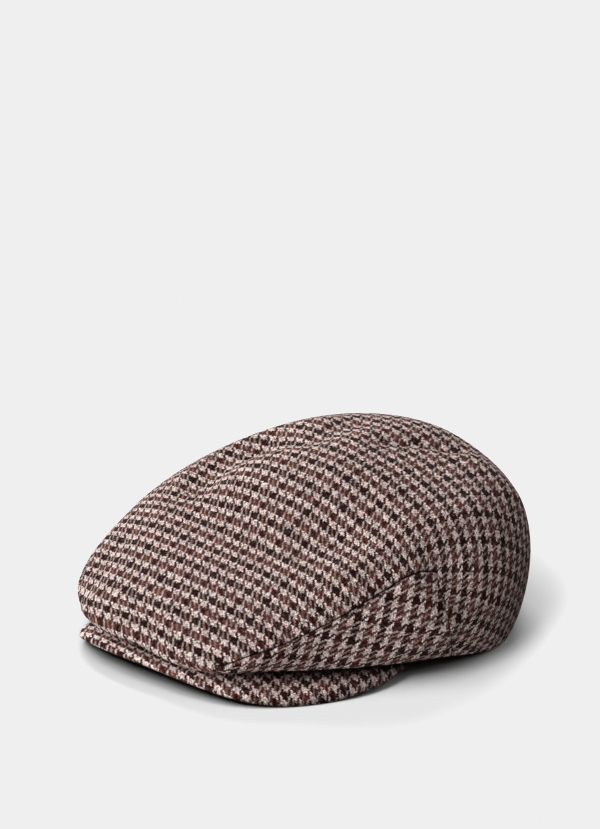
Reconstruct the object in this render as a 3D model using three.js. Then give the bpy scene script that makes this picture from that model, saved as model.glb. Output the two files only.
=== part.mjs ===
import * as THREE from "three";

// Flat cap as it lies on a table: one top and back panel, two side panels and a covered peak.
// Millimetres, +Z up, table at z = 0, peak toward -Y, the wearer's left side toward +X.

// Cloth and seams
const CLOTH = 1.5; // wall of the panels, tweed with its backing
const SEAM_GAP = 0.3; // clear gap kept wherever two pieces meet
const HEM_FLAT_RISE = 4.0; // hem height at which the turned hem stops lying flat

// Crown
const APEX_Y = 33.6; // highest point of the crown, behind the middle of the hem
const APEX_Z = 81.9;
const WALL_LEAN = 0.3; // share of the wall's height over which it leans in to the hem

// Crown sections, a row per direction seen from above: 0 front, 90 side, 180 back, alike on both sides.
// shoulder and crown are how far the section runs straight up from the bulge and flat out from the apex.
const CROWN_SECTIONS = [
  { deg: 0, hemR: 96.3, hemZ: 9.6, bulgeR: 108.8, bulgeZ: 15.7, shoulder: 11.5, crown: 29.5 },
  { deg: 30, hemR: 97.0, hemZ: 10.0, bulgeR: 113.8, bulgeZ: 16.6, shoulder: 12.0, crown: 37.0 },
  { deg: 60, hemR: 92.4, hemZ: 9.3, bulgeR: 97.8, bulgeZ: 32.6, shoulder: 12.0, crown: 36.5 },
  { deg: 90, hemR: 97.1, hemZ: 7.8, bulgeR: 105.0, bulgeZ: 25.8, shoulder: 31.4, crown: 34.4 },
  { deg: 120, hemR: 105.5, hemZ: -0.9, bulgeR: 110.4, bulgeZ: 29.2, shoulder: 31.8, crown: 52.6 },
  { deg: 150, hemR: 96.4, hemZ: -1.0, bulgeR: 111.1, bulgeZ: 35.7, shoulder: 34.1, crown: 49.7 },
  { deg: 180, hemR: 96.9, hemZ: -0.6, bulgeR: 104.6, bulgeZ: 36.0, shoulder: 35.8, crown: 58.2 },
];
const SECTION_STEP = 30; // degrees between rows

// Folds and dents: name, three points its curve runs through, half width, height (below 0 a valley)
const FOLDS = [
  ["far valley", [-50, -30, 57], [-53, -10, 64], [-49, 6, 69], 11.5, -4.4],
  ["far valley turn", [-40, 10, 73], [-30, 14, 76], [-21, 20, 78], 8, -2.2],
  ["far valley end", [-21, 31, 80], [-22, 40, 80], [-21, 50, 80], 8, -2.0],
  ["far ridge", [-67, -24, 55], [-64, 10, 65], [-40, 40, 77], 9, 2.2],
  ["top pinch", [6, 46, 81], [15, 60, 80], [27, 73, 77], 5.5, -2.4],
  ["far front sag", [-36, -103, 15], [-22, -107, 15], [-4, -109, 15], 7.5, 2.7],
  ["front shelf", [-26, -44, 54], [22, -45, 54], [55, -17, 61], 15.5, -3.9],
  ["shoulder ridge", [75, -26, 51], [74, 1, 59], [74, 44, 64], 22, 5.4],
  ["side hollow", [77, -66, 27], [84, -50, 30], [91, -30, 38], 15, -1.8],
  ["rear seam ridge", [92, -9, 46], [100, -4, 38], [104, 3, 26], 6.5, 3.2],
  ["top puff", [-16, -8, 71], [13, 4, 75], [41, 19, 74], 18.8, 2.3],
  ["back dent", [15, 46, 80], [21, 57, 79], [29, 67, 77], 21.5, -1.8],
  ["back bulge", [43, 73, 72], [53, 74, 68], [61, 76, 63], 13, 3.8],
  ["front dent", [-54, -86, 28], [-55, -80, 31], [-55, -73, 35], 8, -1.9],
  ["front bulge", [-26, -100, 27], [-8, -97, 29], [10, -94, 31], 11, 1.6],
  ["corner dent", [87, 10, 54], [93, 15, 49], [97, 18, 45], 7, -2.0],
];
const HEM_HOLD = 3; // how fast folds fade in above the hem
const FOLD_STEPS = 8; // straight pieces each fold curve is measured by

// Seam between a side panel and the top panel: its height by direction, front end to rear corner
const SIDE_SEAM = [
  { deg: 30, z: 18.2 },
  { deg: 33, z: 20.0 },
  { deg: 37, z: 23.4 },
  { deg: 44, z: 27.8 },
  { deg: 55, z: 34.3 },
  { deg: 66, z: 41.0 },
  { deg: 78, z: 47.6 },
  { deg: 86, z: 50.3 },
  { deg: 91, z: 50.0 },
];
const REAR_SEAM_HEM = 97.5; // direction at which the side panel's rear seam meets the hem
const FRONT_ROW_Z = 34; // height of the seam's grid row at the front, where there is no seam

// Peak, a row per direction, the far side below 0: radius of its edge, height of its underside, thickness
const PEAK_SECTIONS = [
  { deg: -85, outerR: 91.5, outerZ: 5.8, thick: 1.8 },
  { deg: -70, outerR: 95.5, outerZ: 2.2, thick: 3.0 },
  { deg: -55, outerR: 99.5, outerZ: 0, thick: 3.4 },
  { deg: -40, outerR: 102.5, outerZ: 0, thick: 3.4 },
  { deg: -30, outerR: 104.0, outerZ: 0, thick: 3.4 },
  { deg: -25, outerR: 106.5, outerZ: 0.2, thick: 3.4 },
  { deg: -18, outerR: 117.5, outerZ: 3.1, thick: 3.8 },
  { deg: -9, outerR: 120.3, outerZ: 7.4, thick: 3.9 },
  { deg: 0, outerR: 118.6, outerZ: 9.0, thick: 4.0 },
  { deg: 12, outerR: 116.0, outerZ: 8.6, thick: 4.2 },
  { deg: 25, outerR: 116.3, outerZ: 6.2, thick: 4.2 },
  { deg: 36, outerR: 116.9, outerZ: 2.9, thick: 4.2 },
  { deg: 48, outerR: 113.2, outerZ: 0, thick: 4.2 },
  { deg: 58, outerR: 108.8, outerZ: 0, thick: 4.0 },
  { deg: 72, outerR: 102.3, outerZ: 2.8, thick: 3.2 },
  { deg: 85, outerR: 92.5, outerZ: 5.8, thick: 1.8 },
];
const PEAK_ROOT = 8.0; // how far the peak's root runs in under the hem

// Grid sizes
const FRONT_COLUMNS = 14;
const SIDE_COLUMNS = 16;
const BACK_COLUMNS = 40;
const WALL_ROWS = 8;
const TOP_ROWS = 13;
const PEAK_COLUMNS = 36;
const PEAK_ROWS = 5;

const rad = (deg) => (deg * Math.PI) / 180;
const clamp = (x, low, high) => Math.min(high, Math.max(low, x));
const mix = (a, b, s) => a + (b - a) * s;

// Smooth reading of an evenly spaced row value, mirrored past both ends
function smoothRow(rows, key, position) {
  const last = rows.length - 1;
  const at = (i) => rows[i < 0 ? -i : i > last ? 2 * last - i : i][key];
  const i = Math.min(Math.floor(position), last - 1);
  const s = position - i;
  const [p0, p1, p2, p3] = [at(i - 1), at(i), at(i + 1), at(i + 2)];
  const linear = (p2 - p0) * s;
  const square = (2 * p0 - 5 * p1 + 4 * p2 - p3) * s * s;
  const cube = (3 * p1 - p0 - 3 * p2 + p3) * s * s * s;
  return 0.5 * (2 * p1 + linear + square + cube);
}

// Smooth reading of a row value against its deg column, flat past both ends
function smoothDeg(rows, key, deg) {
  const last = rows.length - 1;
  const x = clamp(deg, rows[0].deg, rows[last].deg);
  let i = 0;
  while (i < last - 1 && rows[i + 1].deg < x) {
    i += 1;
  }
  const span = rows[i + 1].deg - rows[i].deg;
  const slope = (j) => {
    const a = rows[Math.max(j - 1, 0)];
    const b = rows[Math.min(j + 1, last)];
    return (b[key] - a[key]) / (b.deg - a.deg);
  };
  const s = (x - rows[i].deg) / span;
  const [m0, m1] = [slope(i) * span, slope(i + 1) * span];
  const h0 = (1 + 2 * s) * (1 - s) * (1 - s) * rows[i][key];
  const h1 = s * s * (3 - 2 * s) * rows[i + 1][key];
  return h0 + s * (1 - s) * (1 - s) * m0 + h1 + s * s * (s - 1) * m1;
}

// Degrees from the front, 0 to 180, the same on both sides
function fromFront(theta) {
  const turn = ((theta * 180) / Math.PI + 720) % 360;
  return turn > 180 ? 360 - turn : turn;
}

function sectionAt(theta) {
  const position = fromFront(theta) / SECTION_STEP;
  const read = (key) => smoothRow(CROWN_SECTIONS, key, position);
  return {
    hemR: read("hemR"),
    hemZ: Math.max(0, read("hemZ")),
    bulgeR: read("bulgeR"),
    bulgeZ: read("bulgeZ"),
    shoulder: read("shoulder"),
    crown: read("crown"),
  };
}

// Crown without folds: v runs 0 at the hem, 1 at the bulge, 2 at the apex
function basePoint(theta, v) {
  const c = sectionAt(theta);
  let r;
  let z;
  let slide = 0;
  if (v <= 1) {
    const k = 1 - v;
    r = k * k * c.hemR + (2 * k * v + v * v) * c.bulgeR;
    z = k * k * c.hemZ + 2 * k * v * mix(c.hemZ, c.bulgeZ, WALL_LEAN) + v * v * c.bulgeZ;
  } else {
    const t = v - 1;
    const k = 1 - t;
    r = (k * k * k + 3 * k * k * t) * c.bulgeR + 3 * k * t * t * c.crown;
    z = k * k * k * c.bulgeZ + 3 * k * k * t * (c.bulgeZ + c.shoulder);
    z += (3 * k * t * t + t * t * t) * APEX_Z;
    slide = t * t * (3 - 2 * t) * APEX_Y;
  }
  return new THREE.Vector3(r * Math.sin(theta), -r * Math.cos(theta) + slide, z);
}

// Outward direction of a surface given as a function of direction and v
function outward(surface, theta, v) {
  const step = 0.004;
  const mid = clamp(v, step, 2 - 2 * step);
  const around = surface(theta + step, mid).sub(surface(theta - step, mid));
  const up = surface(theta, mid + step).sub(surface(theta, mid - step));
  return around.cross(up).normalize();
}

// Points along one fold's curve
function foldCurve(from, via, to) {
  const [a, middle, b] = [from, via, to].map((p) => new THREE.Vector3(...p));
  const handle = middle.multiplyScalar(2);
  handle.addScaledVector(a, -0.5).addScaledVector(b, -0.5);
  return new THREE.QuadraticBezierCurve3(a, handle, b).getPoints(FOLD_STEPS);
}

const FOLD_CURVES = FOLDS.map(([, from, via, to, width, height]) => ({
  points: foldCurve(from, via, to),
  width,
  height,
}));

function foldHeight(p) {
  let height = 0;
  const near = new THREE.Vector3();
  for (const fold of FOLD_CURVES) {
    let distance = Infinity;
    for (let i = 0; i < FOLD_STEPS; i += 1) {
      const piece = new THREE.Line3(fold.points[i], fold.points[i + 1]);
      piece.closestPointToPoint(p, true, near);
      distance = Math.min(distance, near.distanceTo(p));
    }
    height += fold.height * Math.exp(-((distance / fold.width) ** 2));
  }
  return height;
}

function crownPoint(theta, v) {
  const p = basePoint(theta, v);
  const rise = foldHeight(p) * Math.min(1, HEM_HOLD * v);
  return p.addScaledVector(outward(basePoint, theta, v), rise);
}

// The v at which the plain section reaches height z
function heightToV(theta, z) {
  let [low, high] = [0, 2];
  for (let i = 0; i < 40; i += 1) {
    const middle = (low + high) / 2;
    if (basePoint(theta, middle).z < z) {
      low = middle;
    } else {
      high = middle;
    }
  }
  return (low + high) / 2;
}

const SEAM_FRONT = SIDE_SEAM[0].deg;
const SEAM_REAR = SIDE_SEAM[SIDE_SEAM.length - 1].deg;

const COLUMN_COUNTS = [FRONT_COLUMNS, SIDE_COLUMNS, BACK_COLUMNS, SIDE_COLUMNS];
const COLUMNS = COLUMN_COUNTS.reduce((sum, count) => sum + count, 0);

// Direction of a column at a row: front block, left side, back block, right side
function columnTheta(column, row) {
  const rear = mix(REAR_SEAM_HEM, SEAM_REAR, Math.min(1, row / WALL_ROWS));
  const stops = [-SEAM_FRONT, SEAM_FRONT, rear, 360 - rear, 360 - SEAM_FRONT];
  let block = 0;
  let c = column;
  while (block < 3 && c >= COLUMN_COUNTS[block]) {
    c -= COLUMN_COUNTS[block];
    block += 1;
  }
  return rad(mix(stops[block], stops[block + 1], c / COLUMN_COUNTS[block]));
}

const LEFT = [FRONT_COLUMNS, FRONT_COLUMNS + SIDE_COLUMNS];
const RIGHT = [FRONT_COLUMNS + SIDE_COLUMNS + BACK_COLUMNS, COLUMNS];
const ROWS = WALL_ROWS + TOP_ROWS;

// Row heights: the seam is always row WALL_ROWS
function rowV(theta, row) {
  const deg = fromFront(theta);
  let z = smoothDeg(SIDE_SEAM, "z", deg);
  if (deg < SEAM_FRONT) {
    const s = deg / SEAM_FRONT;
    z = mix(FRONT_ROW_Z, SIDE_SEAM[0].z, s * s * (3 - 2 * s));
  }
  const seam = heightToV(theta, z);
  if (row <= WALL_ROWS) {
    return (seam * row) / WALL_ROWS;
  }
  return mix(seam, 2, (row - WALL_ROWS) / TOP_ROWS);
}

// A cloth point with its inner twin; shifts are distances along the cloth that open the seams
function clothPair(theta, v, aroundShift, upShift) {
  const step = 0.01;
  const p = crownPoint(theta, v);
  const turn = theta + (aroundShift * step) / crownPoint(theta + step, Math.min(v, 2 - step)).distanceTo(p);
  const height = v + (upShift * step) / crownPoint(theta, v - step).distanceTo(p);
  const outer = crownPoint(turn, height);
  const inwards = outward(crownPoint, theta, v).negate();
  if (v === 0) {
    const flat = clamp(1 - sectionAt(turn).hemZ / HEM_FLAT_RISE, 0, 1);
    inwards.z *= 1 - flat;
    inwards.normalize();
  }
  return [outer, outer.clone().addScaledVector(inwards, CLOTH)];
}

// Closed cloth piece from faces over paired outer and inner points
function clothPiece(name, colour, pairs, faces) {
  const count = pairs.length;
  const index = [];
  const edges = new Set();
  for (const face of faces) {
    for (let i = 2; i < face.length; i += 1) {
      index.push(face[0], face[i - 1], face[i]);
      index.push(face[0] + count, face[i] + count, face[i - 1] + count);
    }
    face.forEach((a, i) => edges.add(`${a},${face[(i + 1) % face.length]}`));
  }
  for (const edge of edges) {
    const [a, b] = edge.split(",").map(Number);
    if (!edges.has(`${b},${a}`)) {
      index.push(a, a + count, b + count, a, b + count, b);
    }
  }
  const geometry = new THREE.BufferGeometry();
  const points = [...pairs.map((pair) => pair[0]), ...pairs.map((pair) => pair[1])];
  geometry.setFromPoints(points);
  geometry.setIndex(index);
  geometry.computeVertexNormals();
  const material = new THREE.MeshStandardMaterial({ color: colour, roughness: 0.95 });
  const mesh = new THREE.Mesh(geometry, material);
  mesh.name = name;
  return mesh;
}

function topPanel() {
  const half = SEAM_GAP / 2;
  const inside = (c, [from, to]) => c > from && c < to;
  const pairs = [];
  const ids = new Map();
  const pointAt = (c, row) => {
    const column = c % COLUMNS;
    const key = row === ROWS ? "apex" : `${column},${row}`;
    if (!ids.has(key)) {
      let around = 0;
      if (row <= WALL_ROWS && (column === LEFT[0] || column === RIGHT[0])) {
        around = -half;
      }
      if (row <= WALL_ROWS && (column === LEFT[1] || column === RIGHT[1] % COLUMNS)) {
        around = half;
      }
      const overSeam = inside(column, LEFT) || inside(column, RIGHT) || around !== 0;
      const up = row === WALL_ROWS && overSeam ? half : 0;
      const theta = columnTheta(column, row);
      ids.set(key, pairs.length);
      pairs.push(clothPair(theta, rowV(theta, row), around, up));
    }
    return ids.get(key);
  };
  const faces = [];
  for (let c = 0; c < COLUMNS; c += 1) {
    const side = (c >= LEFT[0] && c < LEFT[1]) || c >= RIGHT[0];
    for (let row = side ? WALL_ROWS : 0; row < ROWS - 1; row += 1) {
      faces.push([pointAt(c, row), pointAt(c + 1, row), pointAt(c + 1, row + 1), pointAt(c, row + 1)]);
    }
    faces.push([pointAt(c, ROWS - 1), pointAt(c + 1, ROWS - 1), pointAt(c, ROWS)]);
  }
  return clothPiece("crown_top", 0x776560, pairs, faces);
}

function sidePanel(name, [from, to]) {
  const half = SEAM_GAP / 2;
  const width = to - from + 1;
  const pairs = [];
  for (let row = 0; row <= WALL_ROWS; row += 1) {
    for (let c = from; c <= to; c += 1) {
      const theta = columnTheta(c, row);
      const around = c === from ? half : c === to ? -half : 0;
      pairs.push(clothPair(theta, rowV(theta, row), around, row === WALL_ROWS ? -half : 0));
    }
  }
  const faces = [];
  for (let row = 0; row < WALL_ROWS; row += 1) {
    for (let c = 0; c < width - 1; c += 1) {
      const a = row * width + c;
      faces.push([a, a + 1, a + 1 + width, a + width]);
    }
  }
  return clothPiece(name, 0x72605b, pairs, faces);
}

// Peak: a covered board from under the hem out to its own edge, closed by the same shell
function peakPiece() {
  const [first, last] = [PEAK_SECTIONS[0], PEAK_SECTIONS[PEAK_SECTIONS.length - 1]];
  const pairs = [];
  for (let row = 0; row <= PEAK_ROWS; row += 1) {
    for (let c = 0; c <= PEAK_COLUMNS; c += 1) {
      const deg = mix(first.deg, last.deg, c / PEAK_COLUMNS);
      const read = (key) => smoothDeg(PEAK_SECTIONS, key, deg);
      const section = sectionAt(rad(deg));
      const s = row / PEAK_ROWS;
      const r = mix(section.hemR - PEAK_ROOT, read("outerR"), s);
      const thick = read("thick");
      const rootTop = section.hemZ - SEAM_GAP;
      const out = clamp((r - section.hemR) / Math.max(1, read("outerR") - section.hemR), 0, 1);
      const top = mix(rootTop, Math.max(0, read("outerZ")) + thick, out * out);
      const bottom = Math.max(0, top - thick);
      const [x, y] = [r * Math.sin(rad(deg)), -r * Math.cos(rad(deg))];
      pairs.push([new THREE.Vector3(x, y, top), new THREE.Vector3(x, y, bottom)]);
    }
  }
  const width = PEAK_COLUMNS + 1;
  const faces = [];
  for (let row = 0; row < PEAK_ROWS; row += 1) {
    for (let c = 0; c < PEAK_COLUMNS; c += 1) {
      const a = row * width + c;
      faces.push([a, a + width, a + width + 1, a + 1]);
    }
  }
  return clothPiece("peak", 0x6d5b57, pairs, faces);
}

const cap = new THREE.Group();
cap.name = "flat_cap";
cap.add(topPanel());
cap.add(sidePanel("side_panel_left", LEFT));
cap.add(sidePanel("side_panel_right", RIGHT));
cap.add(peakPiece());

// The box of the whole cap is centred over the origin and stands on z = 0
const box = new THREE.Box3().setFromObject(cap);
const centre = box.getCenter(new THREE.Vector3());
for (const piece of cap.children) {
  piece.geometry.translate(-centre.x, -centre.y, -box.min.z);
}

export default cap;
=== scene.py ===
"""Flat cap of checked tweed on a pale table: one top and back panel, two side panels and a covered peak."""

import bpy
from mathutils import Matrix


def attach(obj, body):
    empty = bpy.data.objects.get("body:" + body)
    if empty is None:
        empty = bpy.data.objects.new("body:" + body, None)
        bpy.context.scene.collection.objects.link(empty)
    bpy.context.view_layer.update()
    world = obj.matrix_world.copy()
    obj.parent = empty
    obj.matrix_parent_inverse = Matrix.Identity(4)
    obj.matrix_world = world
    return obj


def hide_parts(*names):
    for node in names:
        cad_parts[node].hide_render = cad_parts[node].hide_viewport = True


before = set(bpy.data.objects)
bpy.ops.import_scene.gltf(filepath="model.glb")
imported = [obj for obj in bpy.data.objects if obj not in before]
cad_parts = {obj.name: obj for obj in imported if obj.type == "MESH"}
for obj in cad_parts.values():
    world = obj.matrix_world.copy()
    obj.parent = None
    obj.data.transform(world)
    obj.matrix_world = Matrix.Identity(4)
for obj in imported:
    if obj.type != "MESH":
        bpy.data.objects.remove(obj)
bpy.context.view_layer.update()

import math

import bpy
import numpy as np
from mathutils import Vector

MM = 0.001

# Where the crown's own middle lies in the part's frame, mm
CROWN_MIDDLE = np.array([-1.26, 7.39, 0.0])

# Cloth and seams, mm
CLOTH = 1.5
SEAM_GAP = 0.3
SEAM_LIP = (2.0, 1.35)  # how far from a seam the cloth starts to turn in, and how deep it turns
HEM_LIP = (1.5, 1.2)  # the same at the hem
HEM_EDGE = 0.1  # cloth left between the two faces at the hem's turned edge
HEM_TURN = (16.0, 1.0)  # width of the cloth turned up inside the hem, and what it adds to the wall

# Dark lines painted into the cloth's colour: how far away the cloth is darkened, and how much of its light
# is lost there
SEAM_SHADE_AND_STITCH = (0.55, 0.8)  # along a seam: painted shade in its groove, and a dark stitch line
RIM_DARK = (0.5, 0.55)  # along the stitched edge of the peak
PAINTED_TUCK_SHADOW = (6.0, 0.93)  # painted shadow where the peak goes in under the hem

# Crown, the same as the solids, mm
APEX_Y, APEX_Z = 33.6, 81.9  # highest point of the crown, behind the middle of the hem
WALL_LEAN = 0.3  # share of the wall's height over which it leans in to the hem

# Crown sections, alike on both sides: direction (0 front, 180 back), hem radius and height, bulge radius and
# height, shoulder (run straight up from the bulge), crown (run flat out from the apex)
CROWN_SECTIONS = np.array([
    [0, 96.3, 9.6, 108.8, 15.7, 11.5, 29.5],
    [30, 97.0, 10.0, 113.8, 16.6, 12.0, 37.0],
    [60, 92.4, 9.3, 97.8, 32.6, 12.0, 36.5],
    [90, 97.1, 7.8, 105.0, 25.8, 31.4, 34.4],
    [120, 105.5, -0.9, 110.4, 29.2, 31.8, 52.6],
    [150, 96.4, -1.0, 111.1, 35.7, 34.1, 49.7],
    [180, 96.9, -0.6, 104.6, 36.0, 35.8, 58.2],
])
SECTION_STEP = 30.0  # degrees between rows

# Folds and dents: name, three points of the curve, half width, height (below 0 a valley)
FOLDS = [
    ("far valley", (-50, -30, 57), (-53, -10, 64), (-49, 6, 69), 11.5, -4.4),
    ("far valley turn", (-40, 10, 73), (-30, 14, 76), (-21, 20, 78), 8, -2.2),
    ("far valley end", (-21, 31, 80), (-22, 40, 80), (-21, 50, 80), 8, -2.0),
    ("far ridge", (-67, -24, 55), (-64, 10, 65), (-40, 40, 77), 9, 2.2),
    ("top pinch", (6, 46, 81), (15, 60, 80), (27, 73, 77), 5.5, -2.4),
    ("far front sag", (-36, -103, 15), (-22, -107, 15), (-4, -109, 15), 7.5, 2.7),
    ("front shelf", (-26, -44, 54), (22, -45, 54), (55, -17, 61), 15.5, -3.9),
    ("shoulder ridge", (75, -26, 51), (74, 1, 59), (74, 44, 64), 22, 5.4),
    ("side hollow", (77, -66, 27), (84, -50, 30), (91, -30, 38), 15, -1.8),
    ("rear seam ridge", (92, -9, 46), (100, -4, 38), (104, 3, 26), 6.5, 3.2),
    ("top puff", (-16, -8, 71), (13, 4, 75), (41, 19, 74), 18.8, 2.3),
    ("back dent", (15, 46, 80), (21, 57, 79), (29, 67, 77), 21.5, -1.8),
    ("back bulge", (43, 73, 72), (53, 74, 68), (61, 76, 63), 13, 3.8),
    ("front dent", (-54, -86, 28), (-55, -80, 31), (-55, -73, 35), 8, -1.9),
    ("front bulge", (-26, -100, 27), (-8, -97, 29), (10, -94, 31), 11, 1.6),
    ("corner dent", (87, 10, 54), (93, 15, 49), (97, 18, 45), 7, -2.0),
]
FOLD_STEPS = 8  # straight pieces each fold curve is measured by
HEM_HOLD = 3.0  # how fast folds fade in above the hem

# Seam between side panel and top panel: direction, height
SIDE_SEAM = np.array([
    [30, 18.2], [33, 20.0], [37, 23.4], [44, 27.8], [55, 34.3],
    [66, 41.0], [78, 47.6], [86, 50.3], [91, 50.0],
])
REAR_SEAM_HEM = 97.5  # direction at which the side panel's rear seam meets the hem
FRONT_ROW_Z = 34.0  # height of the seam's grid row at the front, where there is no seam

# Peak: direction, edge radius, underside height at the edge, thickness
PEAK_SECTIONS = np.array([
    [-85, 91.5, 5.8, 1.8], [-70, 95.5, 2.2, 3.0], [-55, 99.5, 0.0, 3.4], [-40, 102.5, 0.0, 3.4],
    [-30, 104.0, 0.0, 3.4], [-25, 106.5, 0.2, 3.4], [-18, 117.5, 3.1, 3.8], [-9, 120.3, 7.4, 3.9],
    [0, 118.6, 9.0, 4.0], [12, 116.0, 8.6, 4.2], [25, 116.3, 6.2, 4.2], [36, 116.9, 2.9, 4.2],
    [48, 113.2, 0.0, 4.2], [58, 108.8, 0.0, 4.0], [72, 102.3, 2.8, 3.2], [85, 92.5, 5.8, 1.8],
])
PEAK_ROOT = 8.0  # how far the peak's root runs in under the hem
PEAK_RIM = (1.3, 0.45)  # width of the rounded edge in thicknesses, and the most of the peak's width it takes
RIM_LOW = 0.35  # share of the rounded edge that turns in underneath
RIM_WIDEST = 0.25  # height of the edge's widest line in thicknesses

# Meshes: columns of the front, left, back and right blocks, rows of the wall and top, crowding at the seams
FINE_MESH = ((44, 48, 130, 48), 26, 46, 0.82)
ROUGH_MESH = ((14, 16, 40, 16), 8, 13, 0.0)  # the mesh that is laid flat
CROWD_REACH = 0.16  # share of a block over which its cells are crowded
LAY_ROUNDS = 60  # rounds of laying flat
LEVEL_REACH = 3  # cells to each side over which a side panel's slope is read
PEAK_MESH = (150, 16, 9, 3, 9)  # columns, then rows of the top, upper rim, lower rim and underside
HALVINGS = 40  # steps of a search by halves
FAR = 1e9  # a distance beyond any on the cap

# Weave, and the turn of the cloth on each panel in degrees
BLOCK = 4  # threads of one colour side by side
REPEAT = 4 * BLOCK  # threads after which the colours repeat
TWILL = 4  # threads after which the twill repeats
FLOAT = TWILL / 2  # threads that a yarn passes over
THREAD = 0.806  # pitch of the threads, mm
TOP_TURN = 3.0
SIDE_TURN = 17.0
PEAK_TURN = 2.0

# Picture: direction and distance of the camera, and where the crown's middle on the table falls in it
AZIMUTH, ELEVATION, DISTANCE = 52.0, 25.0, 2000.0
PICTURE = (600.0, 829.0)
MIDDLE_AT = (305.5, 606.8)
PX_PER_MM = 2.0
SENSOR = 36.0  # width of the camera's sensor, mm
CLIP_END = 50.0  # farthest that the camera sees, m


def catmull(values, position):
    """Smooth reading of evenly spaced rows, mirrored past both ends."""
    last = len(values) - 1
    i = np.minimum(np.floor(position).astype(int), last - 1)
    s = (position - i)[..., None]
    ext = np.vstack([values[1], values, values[-2]])
    p0, p1, p2, p3 = (ext[i + k] for k in range(4))
    cubic = (3 * p1 - p0 - 3 * p2 + p3) * s ** 3
    return 0.5 * (2 * p1 + (p2 - p0) * s + (2 * p0 - 5 * p1 + 4 * p2 - p3) * s ** 2 + cubic)


def hermite(rows, x):
    """Smooth reading of rows against their first column, flat past both ends."""
    keys, values = rows[:, 0], rows[:, 1:]
    last = len(keys) - 1
    x = np.clip(x, keys[0], keys[-1])
    i = np.clip(np.searchsorted(keys, x, side="left") - 1, 0, last - 1)
    low, high = np.maximum(np.arange(last + 1) - 1, 0), np.minimum(np.arange(last + 1) + 1, last)
    slope = (values[high] - values[low]) / (keys[high] - keys[low])[:, None]
    span = (keys[i + 1] - keys[i])[..., None]
    s = (x - keys[i])[..., None] / span
    rise = s * (1 - s) ** 2 * slope[i] * span + s * s * (s - 1) * slope[i + 1] * span
    return (1 + 2 * s) * (1 - s) ** 2 * values[i] + s * s * (3 - 2 * s) * values[i + 1] + rise


def from_front(theta):
    deg = np.degrees(theta) % 360
    return np.where(deg > 180, 360 - deg, deg)


def section_at(theta):
    row = catmull(CROWN_SECTIONS[:, 1:], from_front(theta) / SECTION_STEP)
    hem_r, hem_z, bulge_r, bulge_z, shoulder, crown = np.moveaxis(row, -1, 0)
    return hem_r, np.maximum(hem_z, 0), bulge_r, bulge_z, shoulder, crown


def base_point(theta, v):
    """Crown without folds: v is 0 at the hem, 1 at the bulge and 2 at the apex."""
    hem_r, hem_z, bulge_r, bulge_z, shoulder, crown = section_at(theta)
    t = np.clip(v, 0, 1)
    k = 1 - t
    lean = hem_z + WALL_LEAN * (bulge_z - hem_z)
    wall_r = k * k * hem_r + (1 - k * k) * bulge_r
    wall_z = k * k * hem_z + 2 * k * t * lean + t * t * bulge_z
    t = np.clip(v - 1, 0, 1)
    k = 1 - t
    top_r = (k ** 3 + 3 * k * k * t) * bulge_r + 3 * k * t * t * crown
    top_z = k ** 3 * bulge_z + 3 * k * k * t * (bulge_z + shoulder) + (3 * k * t * t + t ** 3) * APEX_Z
    r = np.where(v <= 1, wall_r, top_r)
    z = np.where(v <= 1, wall_z, top_z)
    slide = t * t * (3 - 2 * t) * APEX_Y
    return np.stack([r * np.sin(theta), slide - r * np.cos(theta), z], -1)


def unit(vectors):
    return vectors / np.maximum(np.linalg.norm(vectors, axis=-1, keepdims=True), 1e-9)


def base_normal(theta, v):
    step = 0.004
    mid = np.clip(v, step, 2 - 2 * step)
    around = base_point(theta + step, mid) - base_point(theta - step, mid)
    up = base_point(theta, mid + step) - base_point(theta, mid - step)
    return unit(np.cross(around, up))


def curve_points(a, via, b, steps):
    a, via, b = (np.array(p, float) for p in (a, via, b))
    handle = 2 * via - 0.5 * (a + b)
    t = np.linspace(0, 1, steps + 1)[:, None]
    return (1 - t) ** 2 * a + 2 * t * (1 - t) * handle + t * t * b


def curve_distance(points, curve):
    """Distance of each point from a polyline."""
    best = np.full(points.shape[:-1], FAR)
    for a, b in zip(curve[:-1], curve[1:]):
        d = b - a
        s = np.clip(((points - a) @ d) / (d @ d), 0, 1)
        best = np.minimum(best, np.linalg.norm(points - a - s[..., None] * d, axis=-1))
    return best


def fold_height(points):
    height = np.zeros(points.shape[:-1])
    for _, a, via, b, width, depth in FOLDS:
        height += depth * np.exp(-(curve_distance(points, curve_points(a, via, b, FOLD_STEPS)) / width) ** 2)
    return height


def crown_point(theta, v):
    p = base_point(theta, v)
    rise = fold_height(p) * np.minimum(1, HEM_HOLD * v)
    return p + base_normal(theta, v) * rise[..., None]


def height_to_v(theta, z):
    low, high = np.zeros_like(theta), np.full_like(theta, 2.0)
    for _ in range(HALVINGS):
        middle = (low + high) / 2
        under = base_point(theta, middle)[..., 2] < z
        low, high = np.where(under, middle, low), np.where(under, high, middle)
    return (low + high) / 2


def run_length(points, axis):
    """Length along a grid of points from its first row or column."""
    step = np.linalg.norm(np.diff(points, axis=axis), axis=-1)
    first = np.zeros_like(np.take(step, [0], axis=axis))
    return np.concatenate([first, np.cumsum(step, axis=axis)], axis=axis)


def crowded(cells, start, end):
    """Positions from 0 to 1 whose cells get smaller toward the chosen ends; start and end are 0 to 1."""
    weight = np.ones(cells)
    t = (np.arange(cells) + 0.5) / cells
    weight *= 1 - start * np.exp(-(t / CROWD_REACH) ** 2)
    weight *= 1 - end * np.exp(-((1 - t) / CROWD_REACH) ** 2)
    return np.concatenate([[0], np.cumsum(weight) / weight.sum()])


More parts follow.
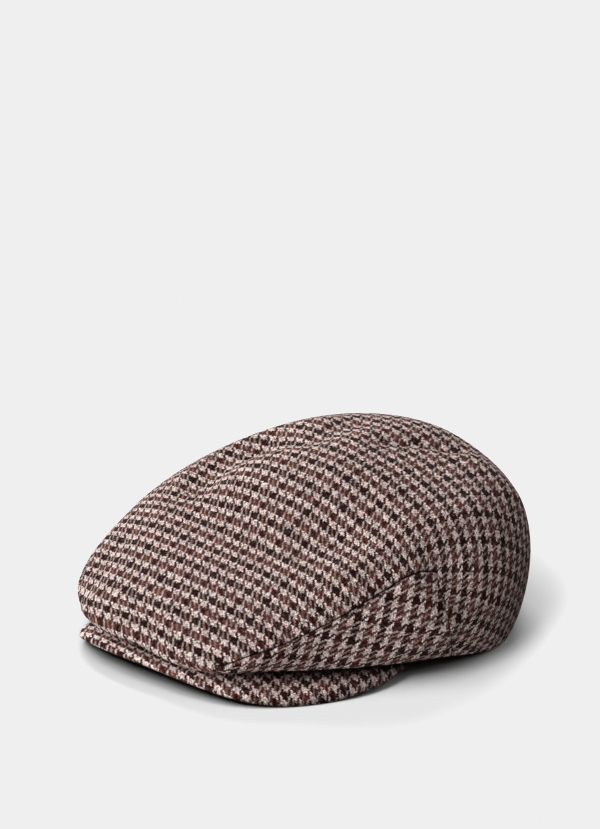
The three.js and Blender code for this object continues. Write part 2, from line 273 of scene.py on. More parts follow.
class CrownGrid:
    """Points of the whole crown over columns (front, left side, back, right side) and rows (wall, top)."""

    def __init__(self, counts, wall, top, crowd):
        self.counts = counts
        self.columns = sum(counts)
        self.starts = np.concatenate([[0], np.cumsum(counts)])
        self.sides = {"left": self.starts[1:3], "right": self.starts[3:5]}
        self.seam_row = wall
        self.rows = wall + top
        self.block_t = [crowded(n, crowd, crowd) for n in counts]
        self.row_t = np.concatenate([crowded(wall, crowd, crowd), 1 + crowded(top, crowd, 0)[1:]])
        row = self.row_t[None, :]
        seam_front, seam_rear = SIDE_SEAM[0, 0], SIDE_SEAM[-1, 0]
        rear = REAR_SEAM_HEM + (seam_rear - REAR_SEAM_HEM) * np.minimum(1, row)
        flat = np.ones_like(row)
        stops = [-seam_front * flat, seam_front * flat, rear, 360 - rear, (360 - seam_front) * flat]
        blocks = [stops[k] + (stops[k + 1] - stops[k]) * self.block_t[k][:-1, None] for k in range(4)]
        theta = np.radians(np.concatenate(blocks + [stops[4]]))
        deg = from_front(theta)
        s = np.clip(deg / seam_front, 0, 1)
        front_z = FRONT_ROW_Z + (SIDE_SEAM[0, 1] - FRONT_ROW_Z) * s * s * (3 - 2 * s)
        seam_z = np.where(deg < seam_front, front_z, hermite(SIDE_SEAM, deg)[..., 0])
        seam = height_to_v(theta, seam_z)
        v = np.where(row <= 1, seam * row, seam + (2 - seam) * (row - 1))
        self.points = crown_point(theta, v)
        self.measure()

    def measure(self):
        p = self.points
        around = np.empty_like(p)
        around[1:-1] = p[2:] - p[:-2]
        around[0] = around[-1] = p[1] - p[-2]
        up = np.gradient(p, axis=1)
        self.around, self.up = unit(around), unit(up)
        self.normal = unit(np.cross(around, up))
        self.normal[:, -1] = unit(self.normal[:, -2].mean(0))
        self.up_length = run_length(p, 1)
        self.around_length = run_length(p, 0)


def lay_flat(start, points, faces, rounds):
    """Flat positions of a bent cloth, each triangle kept as near to its own shape as the others allow."""
    triangles = np.array([t for f in faces for t in ([f[:3], (f[0], f[2], f[3])] if len(f) == 4 else [f])])
    corner = points[triangles]
    side = corner[:, 1] - corner[:, 0]
    along = unit(side)
    other = corner[:, 2] - corner[:, 0]
    run = np.einsum("ij,ij->i", other, along)
    rise = np.linalg.norm(other - run[:, None] * along, axis=1)
    zero = np.zeros(len(run))
    own = np.stack([np.stack([zero, zero], 1), np.stack([np.linalg.norm(side, axis=1), zero], 1),
                    np.stack([run, -rise], 1)], 1)
    count = len(points)
    stiff = np.zeros((count, count))
    pull = []
    for k in range(3):
        i, j, apex = triangles[:, k], triangles[:, (k + 1) % 3], own[:, (k + 2) % 3]
        p, q = own[:, k] - apex, own[:, (k + 1) % 3] - apex
        area = np.abs(p[:, 0] * q[:, 1] - p[:, 1] * q[:, 0])
        weight = np.einsum("ij,ij->i", p, q) / np.maximum(area, 1e-6)
        for a, b, w in ((i, i, weight), (j, j, weight), (i, j, -weight), (j, i, -weight)):
            np.add.at(stiff, (a, b), w)
        pull.append((i, j, weight, own[:, k] - own[:, (k + 1) % 3]))
    stiff[0, 0] += 1.0
    solve = np.linalg.inv(stiff)
    flat = start.copy()
    for _ in range(rounds):
        c, s = np.zeros(len(triangles)), np.zeros(len(triangles))
        for i, j, weight, edge in pull:
            d = flat[i] - flat[j]
            c += weight * (d[:, 0] * edge[:, 0] + d[:, 1] * edge[:, 1])
            s += weight * (d[:, 1] * edge[:, 0] - d[:, 0] * edge[:, 1])
        size = np.maximum(np.hypot(c, s), 1e-9)
        c, s = c / size, s / size
        target = np.zeros((count, 2))
        for i, j, weight, edge in pull:
            turned = np.stack([c * edge[:, 0] - s * edge[:, 1], s * edge[:, 0] + c * edge[:, 1]], 1)
            turned = turned * weight[:, None]
            np.add.at(target, i, turned)
            np.add.at(target, j, -turned)
        target[0] += flat[0]
        flat = solve @ target
    return flat


def cubic_weights(s):
    return (0.5 * (-s + 2 * s ** 2 - s ** 3), 0.5 * (2 - 5 * s ** 2 + 3 * s ** 3),
            0.5 * (s + 4 * s ** 2 - 3 * s ** 3), 0.5 * (-s ** 2 + s ** 3))


def read_smooth(table, c_at, r_at):
    """Smooth reading of table[c, r], which has one spare row and column on every side, at real positions."""
    c = np.clip(np.floor(c_at).astype(int), 0, table.shape[0] - 4)
    r = np.clip(np.floor(r_at).astype(int), 0, table.shape[1] - 4)
    by_c, by_r = cubic_weights(c_at - c), cubic_weights(r_at - r)
    total = 0.0
    for a in range(4):
        line = sum(w[None, :, None] * table[(c + a)[:, None], (r + b)[None, :]] for b, w in enumerate(by_r))
        total = total + by_c[a][:, None, None] * line
    return total


def panel_of(grid, c, r):
    """Name of the panel that a cell belongs to."""
    if r < grid.seam_row:
        for side, (first, last) in grid.sides.items():
            if first <= c < last:
                return side
    return "top"


def grid_faces(grid, part):
    """Faces of one panel as indices into the full (columns + 1) by (rows + 1) grid, last column joined."""
    width = grid.rows + 1
    faces = []
    for c in range(grid.columns):
        d = (c + 1) % grid.columns if part == "top" else c + 1
        for r in range(grid.rows):
            if panel_of(grid, c, r) != part:
                continue
            if r == grid.rows - 1:
                faces.append((c * width + r, d * width + r, grid.rows))
            else:
                faces.append((c * width + r, d * width + r, d * width + r + 1, c * width + r + 1))
    return faces


def points_used(faces):
    return np.unique(np.concatenate([np.array(f) for f in faces]))


def renumber(used, count):
    """New number of each used point among the used ones."""
    index = np.full(count, -1)
    index[used] = np.arange(len(used))
    return index


def flatten(grid, part, rounds):
    """Flat cloth positions of a panel, in mm, over the grid with a spare row and column on every side."""
    width = grid.rows + 1
    points = grid.points.reshape(-1, 3)
    reach = grid.up_length[:, -1:] - grid.up_length
    if part == "top":
        apex = grid.points[0, -1]
        bearing = np.arctan2(grid.points[..., 0] - apex[0], -(grid.points[..., 1] - apex[1]))
        start = np.stack([reach * np.sin(bearing), reach * np.cos(bearing)], -1)
    else:
        below = grid.up_length[:, grid.seam_row][:, None] - grid.up_length
        along = np.repeat(grid.around_length[:, grid.seam_row][:, None], width, 1)
        start = np.stack([along, below], -1)
    faces = grid_faces(grid, part)
    used = points_used(faces)
    index = renumber(used, len(points))
    local = [tuple(index[list(f)]) for f in faces]
    flat = start.reshape(-1, 2).copy()
    flat[used] = lay_flat(flat[used], points[used], local, rounds)
    flat = flat.reshape(grid.columns + 1, width, 2)
    r = grid.seam_row
    if part == "top":
        flat[-1] = flat[0]
        flat[:, -1] = flat[0, -1]
        for first, last in grid.sides.values():
            flat[first + 1, :r] = 2 * flat[first, :r] - flat[first - 1, :r]
            after = flat[last + 1 if last < grid.columns else 1, :r]
            flat[last - 1, :r] = 2 * flat[last, :r] - after
            flat[first + 1:last, r - 1] = 2 * flat[first + 1:last, r] - flat[first + 1:last, r + 1]
        flat = np.concatenate([flat[-2:-1], flat, flat[1:2]])
    else:
        first, last = grid.sides[part]
        flat[:, r + 1] = 2 * flat[:, r] - flat[:, r - 1]
        flat = np.concatenate([flat[:1], flat, flat[-1:]])
        flat[first] = 2 * flat[first + 1] - flat[first + 2]
        flat[last + 2] = 2 * flat[last + 1] - flat[last]
    low, high = 2 * flat[:, :1] - flat[:, 1:2], 2 * flat[:, -1:] - flat[:, -2:-1]
    return np.concatenate([low, flat, high], axis=1)


def spin(flat, degrees):
    c, s = math.cos(math.radians(degrees)), math.sin(math.radians(degrees))
    return flat @ np.array([[c, s], [-s, c]])


def roll_in(distance, lip):
    """How far a turned edge goes in at a distance from it."""
    reach, depth = lip
    s = np.clip(1 - distance / reach, 0, 1)
    return depth * (1 - np.sqrt(np.maximum(0, 1 - s * s)))


def make_piece(name, points, faces, uv, painted_shade_and_stitch, material):
    """A mesh object in the part's frame from points in the crown's frame, with the cloth's coordinates."""
    mesh = bpy.data.meshes.new(name)
    place = (points + CROWN_MIDDLE) * MM
    mesh.from_pydata(place.tolist(), [], [tuple(int(i) for i in f) for f in faces])
    layer = mesh.uv_layers.new(name="cloth")
    loops = np.empty(len(mesh.loops), dtype=np.int64)
    mesh.loops.foreach_get("vertex_index", loops)
    layer.data.foreach_set("uv", (uv[loops] / (REPEAT * THREAD)).astype(np.float32).ravel())
    mesh.attributes.new("painted_shade_and_stitch", "FLOAT", "POINT").data.foreach_set("value", painted_shade_and_stitch.astype(np.float32))
    mesh.polygons.foreach_set("use_smooth", np.ones(len(mesh.polygons), dtype=bool))
    mesh.update()
    mesh.validate()
    obj = bpy.data.objects.new(name, mesh)
    bpy.context.scene.collection.objects.link(obj)
    obj.data.materials.append(material)
    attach(obj, "root")
    return obj


def shell(outer, inner, uv, faces, used):
    """Joins outer and inner points into one closed skin; returns points, faces and cloth positions."""
    index = renumber(used, len(outer))
    n = len(used)
    out, edges = [], {}
    for face in faces:
        f = [int(index[i]) for i in face]
        out.append(tuple(f))
        out.append(tuple(i + n for i in reversed(f)))
        for a, b in zip(f, f[1:] + f[:1]):
            edges[(a, b)] = True
    for a, b in edges:
        if (b, a) not in edges:
            out.append((a, a + n, b + n, b))
    return np.concatenate([outer[used], inner[used]]), out, np.concatenate([uv[used], uv[used]])


def seam_distance(grid, part):
    """Distance of every grid point from the nearest seam edge of the panel."""
    up = np.abs(grid.up_length - grid.up_length[:, grid.seam_row][:, None])
    columns = np.arange(grid.columns + 1)[:, None]
    rows = np.arange(grid.rows + 1)[None, :]
    total = grid.around_length[-1]
    best = np.full(up.shape, FAR)
    for side, (first, last) in grid.sides.items():
        if part not in ("top", side):
            continue
        across = []
        for edge in (first, last):
            gap = np.abs(grid.around_length - grid.around_length[edge])
            across.append(np.minimum(gap, total - gap))
        across = np.minimum(*across)
        within = (columns >= first) & (columns <= last)
        below = rows <= grid.seam_row
        if part == "top":
            above = np.where(rows >= grid.seam_row, up, FAR)
            beside = np.where(below, across, np.hypot(across, up))
            d = np.where(within, above, beside)
        else:
            d = np.where(within & below, np.minimum(up, across), FAR)
        best = np.minimum(best, d)
    return best


def darken(distance, dark):
    """Share of the light painted out of the cloth's colour at a distance from a seam or edge."""
    return dark[1] * np.exp(-(distance / dark[0]) ** 2)


def seam_shift(grid, part):
    """Small moves along the cloth that open the seams."""
    half = SEAM_GAP / 2
    move = np.zeros_like(grid.points)
    sign = 1.0 if part == "top" else -1.0
    r = grid.seam_row
    for first, last in grid.sides.values():
        move[first:last + 1, r] += sign * half * grid.up[first:last + 1, r]
        move[first, :r + 1] -= sign * half * grid.around[first, :r + 1]
        move[last, :r + 1] += sign * half * grid.around[last, :r + 1]
    if part == "top":
        move[[0, -1]] = move[0] + move[-1]
    return move


def level_side(grid, flat, part):
    """Turns a side panel's flat cloth so that its threads run across to the rear and down the panel."""
    first, last = grid.sides[part]
    c = (first + last) // 2
    r = grid.seam_row // 2
    k = LEVEL_REACH
    span_c = flat[c + k, r] - flat[c - k, r]
    span_r = flat[c, r + k] - flat[c, r - k]
    z_c = grid.points[c + k, r, 2] - grid.points[c - k, r, 2]
    z_r = grid.points[c, r + k, 2] - grid.points[c, r - k, 2]
    slope = np.linalg.solve(np.stack([span_c, span_r]), np.array([z_c, z_r]))
    down = -slope / np.linalg.norm(slope)
    right = np.array([down[1], -down[0]])
    sign = 1.0 if part == "left" else -1.0
    turn = math.radians(sign * SIDE_TURN)
    across = math.cos(turn) * down - math.sin(turn) * right
    lengthwise = -math.cos(turn) * right - math.sin(turn) * down
    return np.stack([sign * (flat @ across), sign * (flat @ lengthwise)], -1)


def crown_panel(part, name, grid, flat, material):
    """One panel of the crown as a closed piece of cloth, its edges turned in at the seams and the hem."""
    cloth = spin(flat, TOP_TURN) if part == "top" else level_side(grid, flat, part)
    faces = grid_faces(grid, part)
    used = points_used(faces)
    from_seam = seam_distance(grid, part)
    depth = np.maximum(roll_in(from_seam, SEAM_LIP), roll_in(grid.up_length, HEM_LIP))
    thick = CLOTH + HEM_TURN[1] * (grid.up_length < HEM_TURN[0])
    thick = np.where(grid.up_length < HEM_LIP[0], HEM_LIP[1] + HEM_EDGE, thick)
    edge = grid.points + seam_shift(grid, part)
    outer = edge - grid.normal * depth[..., None]
    inner = edge - grid.normal * thick[..., None]
    points, skin, uv = shell(outer.reshape(-1, 3), inner.reshape(-1, 3), cloth.reshape(-1, 2), faces, used)
    # Painted shade in the seam's groove, with its dark stitch line
    painted_shade_and_stitch = darken(from_seam, SEAM_SHADE_AND_STITCH).reshape(-1)[used]
    obj = make_piece("cap_" + name, points, skin, uv, np.tile(painted_shade_and_stitch, 2), material)
    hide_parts(name)
    return obj


def crown_pieces(material):
    fine = CrownGrid(*FINE_MESH)
    rough = CrownGrid(*ROUGH_MESH)
    blocks = [rough.starts[k] + fine.block_t[k][:-1] * rough.counts[k] for k in range(4)]
    c_fine = np.concatenate(blocks + [[rough.columns]])
    r_fine = np.where(fine.row_t <= 1, fine.row_t * rough.seam_row,
                      rough.seam_row + (fine.row_t - 1) * (rough.rows - rough.seam_row))
    made = []
    for part, name in (("top", "crown_top"), ("left", "side_panel_left"), ("right", "side_panel_right")):
        flat = read_smooth(flatten(rough, part, LAY_ROUNDS), c_fine, r_fine)
        made.append(crown_panel(part, name, fine, flat, material))
    return made


def quarter_turn(rows):
    """Sines and cosines of a quarter turn in equal steps, without its start."""
    return [(math.sin(a), math.cos(a)) for a in np.linspace(0, math.pi / 2, rows + 1)[1:]]


def peak_profile(deg):
    """Radii and heights around the peak's section: top, rounded edge, underside; root and hem radius."""
    _, top_rows, rim_rows, under_rows, low_rows = PEAK_MESH
    outer_r, outer_z, thick = np.moveaxis(hermite(PEAK_SECTIONS, deg), -1, 0)
    outer_z = np.maximum(0, outer_z)
    hem_r, hem_z = section_at(np.radians(deg))[:2]
    root_r = hem_r - PEAK_ROOT
    root_top = hem_z - SEAM_GAP
    width = outer_r - root_r
    rim = np.minimum(thick * PEAK_RIM[0], width * PEAK_RIM[1])

    def top_at(r):
        out = np.clip((r - hem_r) / np.maximum(1, outer_r - hem_r), 0, 1)
        return root_top + (outer_z + thick - root_top) * out ** 2

    profile = []
    for s in np.linspace(0, 1, top_rows):
        r = root_r + (width - rim) * s
        profile.append((r, top_at(r)))
    top_r, top_z = profile[-1]
    low_r = outer_r - rim * RIM_LOW
    below = RIM_WIDEST * thick
    widest = outer_z + below
    for sine, cosine in quarter_turn(rim_rows):
        profile.append((top_r + (outer_r - top_r) * sine, widest + (top_z - widest) * cosine))
    for sine, cosine in quarter_turn(under_rows):
        profile.append((low_r + (outer_r - low_r) * cosine, outer_z + below * (1 - sine)))
    for s in np.linspace(0, 1, low_rows)[1:]:
        r = low_r + (root_r - low_r) * s
        profile.append((r, np.maximum(0, top_at(r) - thick)))
    r, z = (np.stack(values, 1) for values in zip(*profile))
    return r, z, root_r, hem_r


def peak_piece(material):
    columns, top_rows, rim_rows = PEAK_MESH[:3]
    first, last = PEAK_SECTIONS[[0, -1], 0]
    deg = first + (last - first) * np.linspace(0, 1, columns + 1)
    r, z, root_r, hem_r = peak_profile(deg)
    sine, cosine = np.sin(np.radians(deg))[:, None], np.cos(np.radians(deg))[:, None]
    points = np.stack([r * sine, -r * cosine, z], -1)
    reach = root_r[:, None] + run_length(points, 1)
    cloth = spin(np.stack([reach * sine, reach * cosine], -1), PEAK_TURN)
    n = r.shape[1]
    faces = []
    for c in range(columns):
        for k in range(n):
            m = (k + 1) % n
            faces.append(((c + 1) * n + k, (c + 1) * n + m, c * n + m, c * n + k))
    for c in (0, columns):
        ring = [c * n + k for k in range(n)]
        faces.append(tuple(reversed(ring) if c else ring))
    edge = top_rows + rim_rows - 1
    # A dark stitch line along the peak's edge, and painted shadow where the peak goes in under the hem
    painted_shade_and_stitch = np.maximum(darken(reach - reach[:, edge:edge + 1], RIM_DARK),
                        darken(np.maximum(0, reach - hem_r[:, None]), PAINTED_TUCK_SHADOW))
    uv = cloth.reshape(-1, 2)
    obj = make_piece("cap_peak", points.reshape(-1, 3), faces, uv, painted_shade_and_stitch.reshape(-1), material)
    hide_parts("peak")
    return obj


class Nodes:
    """Short names for the node types that the cloth is drawn with."""

    def __init__(self, material):
        self.tree = material.node_tree
        self.tree.nodes.clear()

    def add(self, kind, **settings):
        node = self.tree.nodes.new(kind)
        for key, value in settings.items():
            setattr(node, key, value)
        return node

    def link(self, value, socket):
        if isinstance(value, bpy.types.NodeSocket):
            self.tree.links.new(value, socket)
        else:
            socket.default_value = value

    def math(self, operation, *values):
        node = self.add("ShaderNodeMath", operation=operation)
        for value, socket in zip(values, node.inputs):
            self.link(value, socket)
        return node.outputs[0]

    def mix(self, factor, a, b, blend="MIX"):
        node = self.add("ShaderNodeMix", data_type="RGBA", blend_type=blend)
        self.link(factor, node.inputs[0])
        self.link(a, node.inputs[6])
        self.link(b, node.inputs[7])
        return node.outputs[2]

    def vector(self, x, y, z=0.0):
        node = self.add("ShaderNodeCombineXYZ")
        for value, socket in zip((x, y, z), node.inputs):
            self.link(value, socket)
        return node.outputs[0]

    def noise(self, vector, scale, detail, roughness):
        node = self.add("ShaderNodeTexNoise")
        self.link(vector, node.inputs["Vector"])
        node.inputs["Scale"].default_value = scale
        node.inputs["Detail"].default_value = detail
        node.inputs["Roughness"].default_value = roughness
        return node.outputs["Fac"]

    def pick(self, factor, a, b):
        node = self.add("ShaderNodeMix", data_type="FLOAT")
        for value, socket in zip((factor, a, b), (node.inputs[0], node.inputs[2], node.inputs[3])):
            self.link(value, socket)
        return node.outputs[0]

    def white(self, vector):
        node = self.add("ShaderNodeTexWhiteNoise", noise_dimensions="2D")
        self.link(vector, node.inputs["Vector"])
        return node.outputs["Value"]


def srgb(r, g, b):
    def one(c):
        c /= 255
        return c / 12.92 if c <= 0.04045 else ((c + 0.055) / 1.055) ** 2.4
    return (one(r), one(g), one(b), 1.0)


# Yarn colours as they look in flat light
BLACK_WARP = srgb(54, 26, 23)
TAUPE_WARP = srgb(146, 112, 104)
BLACK_WEFT = srgb(46, 18, 15)
MAROON_WEFT = srgb(94, 48, 41)
CREAM = srgb(238, 218, 211)
WHITE = (1.0, 1.0, 1.0, 1.0)
PINK_SHADE = (1.0, 0.93, 0.93, 1.0)  # blush that comes and goes over the cloth

# How the yarns lie and cross
DARK_WIDER = 0.16  # how much of a thread the dark yarns spread into the cream ones
CROWDED = 0.07  # height below which a warp is hidden by the weft of the other shade that it crosses
TAIL_DARK = 0.8  # painted shade: how far a dark warp that crosses cream sinks to black
TAIL_DULL = 0.42  # and a cream warp that crosses dark, dulled partly by the dark weft's fibres and partly by painted shade
STRAY = 0.35  # share of the crossings with a fleck of stray fibre
FLECK = (0.07, 0.35)  # most that a fleck lightens a dark crossing, and darkens a cream one
ROUND = 0.5  # power of the yarn's round section

# How light each yarn is: spread of each cause, and steps of the noise across and along a yarn
SLUB, DYE, FIBRE, LOFT = 2.0, 0.25, 1.5, 0.9
SLUB_STEPS = (5.3, 0.6)
FIBRE_STEPS = (3.0, 0.5)
# Painted light and shade of the weave's relief, put into the yarns' colour
RELIEF = (0.95, 0.55)  # how much the yarn's height lightens it, in general and where all is cream
LEVEL = (0.33, 0.53)  # lightness at the bottom of the weave, in general and where all is cream
DARKEST = 0.1  # least light left between the yarns

# Noises: scale, detail, roughness, and the plane of the noise that each one reads
WANDER = ((0.05, 2.0, 0.65), (0.5, 2.0, 0.65), (1.7, 4.0, 0.65))
WANDER_REACH = (1.3, 0.45, 2.2)  # how far each wander moves the yarns, in threads
SLUB_NOISE = (1.0, 2.0, 0.6)
FIBRE_NOISE = (1.0, 3.0, 0.6)
BLUSH_NOISE = (0.35, 3.0, 0.7)
BLUSH_RANGE = (0.35, 0.65)  # noise at which the blush starts and is full
FUZZ_NOISE = (2.4, 4.0, 0.7)
WANDER_PLANE, WARP_PLANE, WEFT_PLANE, BLUSH_PLANE, FUZZ_PLANE = 7.0, 3.0, 11.0, 21.0, 5.0

# Surface of the wool
FUZZ = 0.5  # height of the fuzz against that of a yarn
BUMP = {"Strength": 0.35, "Distance": 0.0004}
WOOL = {
    "Roughness": 0.95,
    "Specular IOR Level": 0.03,
    "Sheen Weight": 0.015,
    "Sheen Roughness": 0.6,
    "Sheen Tint": (1.0, 0.7, 0.64, 1.0),
}


def spread(n, value, amount):
    """A value from 0 to 1 as one from minus to plus half the amount."""
    return n.math("MULTIPLY", n.math("SUBTRACT", value, 0.5), amount)


def stretched(n, x, x_step, y, y_step, plane):
    return n.vector(n.math("MULTIPLY", x, x_step), n.math("MULTIPLY", y, y_step), plane)


def dark_wider(n, along):
    """Spreads the dark blocks of yarn a little into the cream ones."""
    turn = n.math("MULTIPLY", n.math("SUBTRACT", along, BLOCK / 2), math.pi / BLOCK)
    return n.math("SUBTRACT", along, n.math("MULTIPLY", n.math("SINE", turn), DARK_WIDER))


def thread_positions(n):
    """Place on the cloth counted in threads; the yarns wander a little and have ragged, woolly edges."""
    parts = n.add("ShaderNodeSeparateXYZ")
    n.link(n.add("ShaderNodeUVMap", uv_map="cloth").outputs[0], parts.inputs[0])
    u, v = (n.math("MULTIPLY", parts.outputs[k], float(REPEAT)) for k in range(2))
    plane, crossed = n.vector(u, v), n.vector(v, u, WANDER_PLANE)
    for noise, reach in zip(WANDER, WANDER_REACH):
        u = n.math("ADD", u, spread(n, n.noise(plane, *noise), reach))
        v = n.math("ADD", v, spread(n, n.noise(crossed, *noise), reach))
    return dark_wider(n, u), dark_wider(n, v)


def yarn_colour(n, thread, first, second):
    """Colour of a thread and whether it is cream: blocks of one dark shade, cream, the other, cream."""
    block = n.math("FLOOR", n.math("DIVIDE", n.math("FLOORED_MODULO", thread, float(REPEAT)), float(BLOCK)))
    cream = n.math("FLOORED_MODULO", block, 2.0)
    dark = n.mix(n.math("GREATER_THAN", block, 1.0), first, second)
    return n.mix(cream, dark, CREAM), cream


def yarn_tone(n, slub_at, yarn_at, fibre_at):
    """How much lighter or darker a yarn is than its colour: slubs along it, its own dye, its fibres."""
    slub = spread(n, n.noise(slub_at, *SLUB_NOISE), SLUB)
    dye = spread(n, n.white(yarn_at), DYE)
    fibre = spread(n, n.noise(fibre_at, *FIBRE_NOISE), FIBRE)
    return n.math("ADD", slub, n.math("ADD", dye, fibre))


def yarn_height(n, across, run):
    """Height of a yarn: round across, arched along each float."""
    section = n.math("POWER", n.math("MULTIPLY", n.math("PINGPONG", across, 0.5), 2.0), ROUND)
    arch = n.math("SINE", n.math("MULTIPLY", run, math.pi / FLOAT))
    return n.math("MULTIPLY", section, n.math("MAXIMUM", arch, 0.0))


def blush(n, u, v, colour):
    """Lets the colour turn a little pinker in places."""
    ramp = n.add("ShaderNodeMapRange")
    n.link(n.noise(n.vector(u, v, BLUSH_PLANE), *BLUSH_NOISE), ramp.inputs["Value"])
    ramp.inputs["From Min"].default_value, ramp.inputs["From Max"].default_value = BLUSH_RANGE
    return n.mix(1.0, colour, n.mix(ramp.outputs[0], WHITE, PINK_SHADE), "MULTIPLY")


def wool(n, colour, height):
    """The surface of the cloth from its colour and its height."""
    bump = n.add("ShaderNodeBump")
    for name, value in BUMP.items():
        bump.inputs[name].default_value = value
    n.link(height, bump.inputs["Height"])
    shader = n.add("ShaderNodeBsdfPrincipled")
    for name, value in WOOL.items():
        shader.inputs[name].default_value = value
    n.link(colour, shader.inputs["Base Color"])
    n.link(bump.outputs[0], shader.inputs["Normal"])
    n.link(shader.outputs[0], n.add("ShaderNodeOutputMaterial").inputs[0])


def tweed():
    material = bpy.data.materials.new("tweed")
    material.use_nodes = True
    n = Nodes(material)
    u, v = thread_positions(n)
    i, j = n.math("FLOOR", u), n.math("FLOOR", v)

    # Two-and-two twill: which yarn lies on top, and how high
    twill = float(TWILL)
    warp_run = n.math("FLOORED_MODULO", n.math("SUBTRACT", v, i), twill)
    weft_run = n.math("FLOORED_MODULO", n.math("SUBTRACT", j, u), twill)
    warp_up = n.math("LESS_THAN", n.math("FLOORED_MODULO", n.math("SUBTRACT", j, i), twill), FLOAT)
    weft_high = yarn_height(n, v, n.math("SUBTRACT", weft_run, 1.0))
    high = n.pick(warp_up, weft_high, yarn_height(n, u, warp_run))

    # Each yarn is lighter and darker along its length, and each crossing has its own loft
    across, along = SLUB_STEPS
    fine_across, fine_along = FIBRE_STEPS
    warp_tone = yarn_tone(n, stretched(n, i, across, v, along, WARP_PLANE), n.vector(i, 0.5),
                          stretched(n, u, fine_across, v, fine_along, WARP_PLANE))
    weft_tone = yarn_tone(n, stretched(n, u, along, j, across, WEFT_PLANE), n.vector(0.5, j),
                          stretched(n, u, fine_along, v, fine_across, WEFT_PLANE))
    loft = spread(n, n.white(n.vector(i, j)), LOFT)
    tone = n.math("ADD", n.pick(warp_up, weft_tone, warp_tone), loft)

    # Where cream and dark cross, the fuller weft crowds the thin warp: dark ends are painted toward black as
    # shade, cream ends are dulled partly by the dark fibres and partly by painted shade
    warp, warp_cream = yarn_colour(n, i, BLACK_WARP, TAUPE_WARP)
    weft, weft_cream = yarn_colour(n, j, BLACK_WEFT, MAROON_WEFT)
    mixed = n.math("ABSOLUTE", n.math("SUBTRACT", warp_cream, weft_cream))
    warp_mixed = n.math("MULTIPLY", mixed, warp_up)
    crowded_out = n.math("MULTIPLY", warp_mixed, n.math("LESS_THAN", high, CROWDED))
    tail = n.mix(n.pick(warp_cream, TAIL_DARK, TAIL_DULL), warp, BLACK_WEFT)
    top = n.mix(warp_up, weft, n.mix(warp_mixed, warp, tail))
    colour = n.mix(crowded_out, top, weft)
    high = n.math("MAXIMUM", high, n.math("MULTIPLY", crowded_out, CROWDED))

    # Stray fibres: pale flecks on the dark crossings, dark ones on the cream
    chance = n.math("MULTIPLY_ADD", n.white(n.vector(j, i)), 1 / STRAY, 1 - 1 / STRAY)
    on_top_cream = n.pick(warp_up, weft_cream, warp_cream)
    fleck = n.math("MULTIPLY", n.math("MAXIMUM", chance, 0.0), n.pick(on_top_cream, *FLECK))
    colour = n.mix(fleck, colour, n.mix(on_top_cream, CREAM, BLACK_WEFT))
    colour = blush(n, u, v, colour)

    # Painted light and shade between the yarns; painted shade and stitch lines along the seams, and painted
    # shadow where the peak goes in under the hem
    all_cream = n.math("MULTIPLY", warp_cream, weft_cream)
    level = n.math("ADD", tone, n.pick(all_cream, *LEVEL))
    shade = n.math("MULTIPLY_ADD", high, n.pick(all_cream, *RELIEF), level)
    painted_shade_and_stitch = n.add("ShaderNodeAttribute", attribute_name="painted_shade_and_stitch").outputs["Fac"]
    shade = n.math("MULTIPLY", n.math("MAXIMUM", shade, DARKEST), n.math("SUBTRACT", 1.0, painted_shade_and_stitch))
    grey = n.add("ShaderNodeCombineColor")
    for socket in grey.inputs:
        n.link(shade, socket)
    colour = n.mix(1.0, colour, grey.outputs[0], "MULTIPLY")
    fuzz = n.noise(n.vector(u, v, FUZZ_PLANE), *FUZZ_NOISE)
    wool(n, colour, n.math("MULTIPLY_ADD", fuzz, FUZZ, high))
    return material


# Studio lights: where each comes from, strength, width of the lamp as seen from the cap in degrees
CROWN_LIGHTS = [
    ("left", (-1.325, -0.234, 0.15), 3.55, 70),
    ("front", (-0.143, -1.157, 0.4), 1.55, 60),
    ("low front", (0.35, -1.0, 0.05), 0.8, 50),
    ("back", (-0.788, 0.616, 0.6), 2.8, 60),
    ("near", (0.7, -0.75, 0.35), 1.4, 50),
]
PEAK_LIGHTS = [
    ("peak low left", (-0.613, -0.785, 0.087), 6.2, 40),
    ("peak left", (-0.558, -0.714, 0.423), 4.2, 40),
    ("peak back", (-0.078, 0.638, 0.766), 3.1, 40),
    ("peak near", (0.785, -0.613, 0.087), 1.5, 40),
]
TABLE_LIGHTS = [
    ("table left", (-0.246, -0.315, 0.9), 12.6, 36),
    ("table front", (0.078, -0.638, 0.766), 12.3, 26),
    ("table back", (-0.654, 0.511, 0.55), 24.0, 34),
    ("table above", (0.0, 0.0, 1.0), 3.1, 24),
    ("table right", (0.376, 0.481, 0.6), 6.2, 50),
]
AMBIENT = 0.07  # strength of the plain white surroundings
PAPER_WHITE = 0.863  # the table is lit a little past this level and prints at it
TABLE_HALF = 6.0  # half the side of the table, m
TABLE_DROP = 0.0001  # how far the table lies under the cap, m
TABLE_PAINT = {"Base Color": (0.1, 0.1, 0.1, 1.0), "Roughness": 0.9, "Specular IOR Level": 0.0}


def table():
    mesh = bpy.data.meshes.new("table")
    corners = [(x * TABLE_HALF, y * TABLE_HALF, 0) for x, y in ((-1, -1), (1, -1), (1, 1), (-1, 1))]
    mesh.from_pydata(corners, [], [(0, 1, 2, 3)])
    obj = bpy.data.objects.new("table", mesh)
    bpy.context.scene.collection.objects.link(obj)
    material = bpy.data.materials.new("table")
    material.use_nodes = True
    shader = material.node_tree.nodes["Principled BSDF"]
    for name, value in TABLE_PAINT.items():
        shader.inputs[name].default_value = value
    mesh.materials.append(material)
    obj.location.z = -TABLE_DROP
    obj.visible_diffuse = False
    return obj


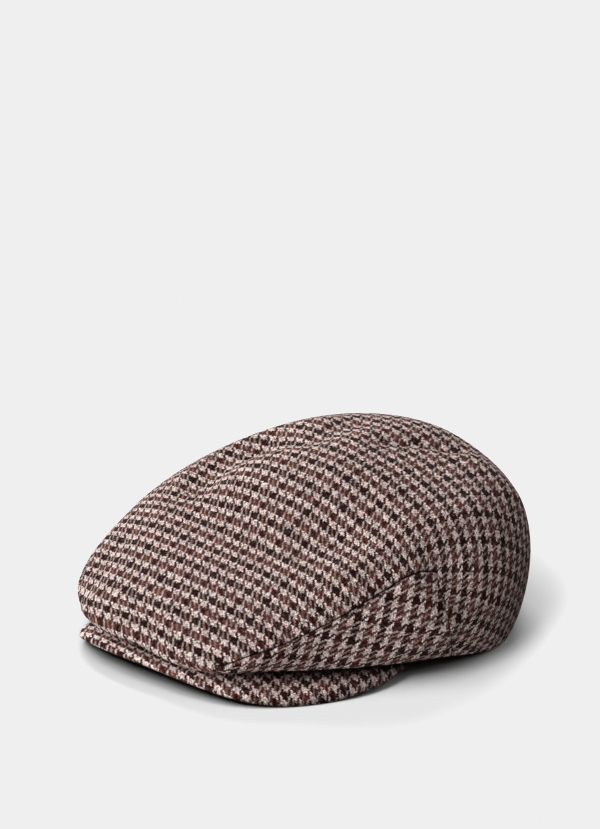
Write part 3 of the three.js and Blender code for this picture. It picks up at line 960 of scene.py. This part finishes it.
def lamp(name, direction, strength, width, lit):
    """A wide soft lamp far away that lights the given objects; every object throws its shadow."""
    data = bpy.data.lights.new(name, "SUN")
    data.energy = strength
    data.angle = math.radians(width)
    obj = bpy.data.objects.new(name, data)
    obj.rotation_euler = Vector(direction).to_track_quat("Z", "Y").to_euler()
    bpy.context.scene.collection.objects.link(obj)
    obj.light_linking.receiver_collection = lit


def studio(crown, peak, floor):
    scene = bpy.context.scene
    world = bpy.data.worlds.new("studio")
    world.use_nodes = True
    background = world.node_tree.nodes["Background"]
    background.inputs[0].default_value = WHITE
    background.inputs[1].default_value = AMBIENT
    scene.world = world
    groups = (
        ("lit_crown", crown, CROWN_LIGHTS),
        ("lit_peak", [peak], PEAK_LIGHTS),
        ("lit_table", [floor], TABLE_LIGHTS),
    )
    for name, objects, lights in groups:
        lit = bpy.data.collections.new(name)
        for obj in objects:
            lit.objects.link(obj)
        for light in lights:
            lamp(*light, lit)
    view = scene.view_settings
    view.view_transform = "Standard"
    view.use_curve_mapping = True
    view.curve_mapping.extend = "HORIZONTAL"
    view.curve_mapping.curves[3].points[-1].location = (1.0, PAPER_WHITE)
    view.curve_mapping.update()


def camera():
    a, e = math.radians(AZIMUTH), math.radians(ELEVATION)
    toward = Vector((math.sin(a) * math.cos(e), -math.cos(a) * math.cos(e), math.sin(e)))
    right = Vector((math.cos(a), math.sin(a), 0.0))
    up = toward.cross(right)
    middle = Vector(CROWN_MIDDLE) * MM
    aim = middle - right * ((MIDDLE_AT[0] - PICTURE[0] / 2) / PX_PER_MM * MM)
    aim += up * ((MIDDLE_AT[1] - PICTURE[1] / 2) / PX_PER_MM * MM)
    data = bpy.data.cameras.new("camera")
    data.sensor_width = SENSOR
    data.lens = SENSOR * DISTANCE / (PICTURE[1] / PX_PER_MM)
    data.clip_end = CLIP_END
    obj = bpy.data.objects.new("camera", data)
    obj.location = middle + toward * (DISTANCE * MM)
    obj.rotation_mode = "QUATERNION"
    obj.rotation_quaternion = (aim - obj.location).to_track_quat("-Z", "Y")
    bpy.context.scene.collection.objects.link(obj)
    bpy.context.scene.camera = obj


cloth = tweed()
studio(crown_pieces(cloth), peak_piece(cloth), table())
camera()
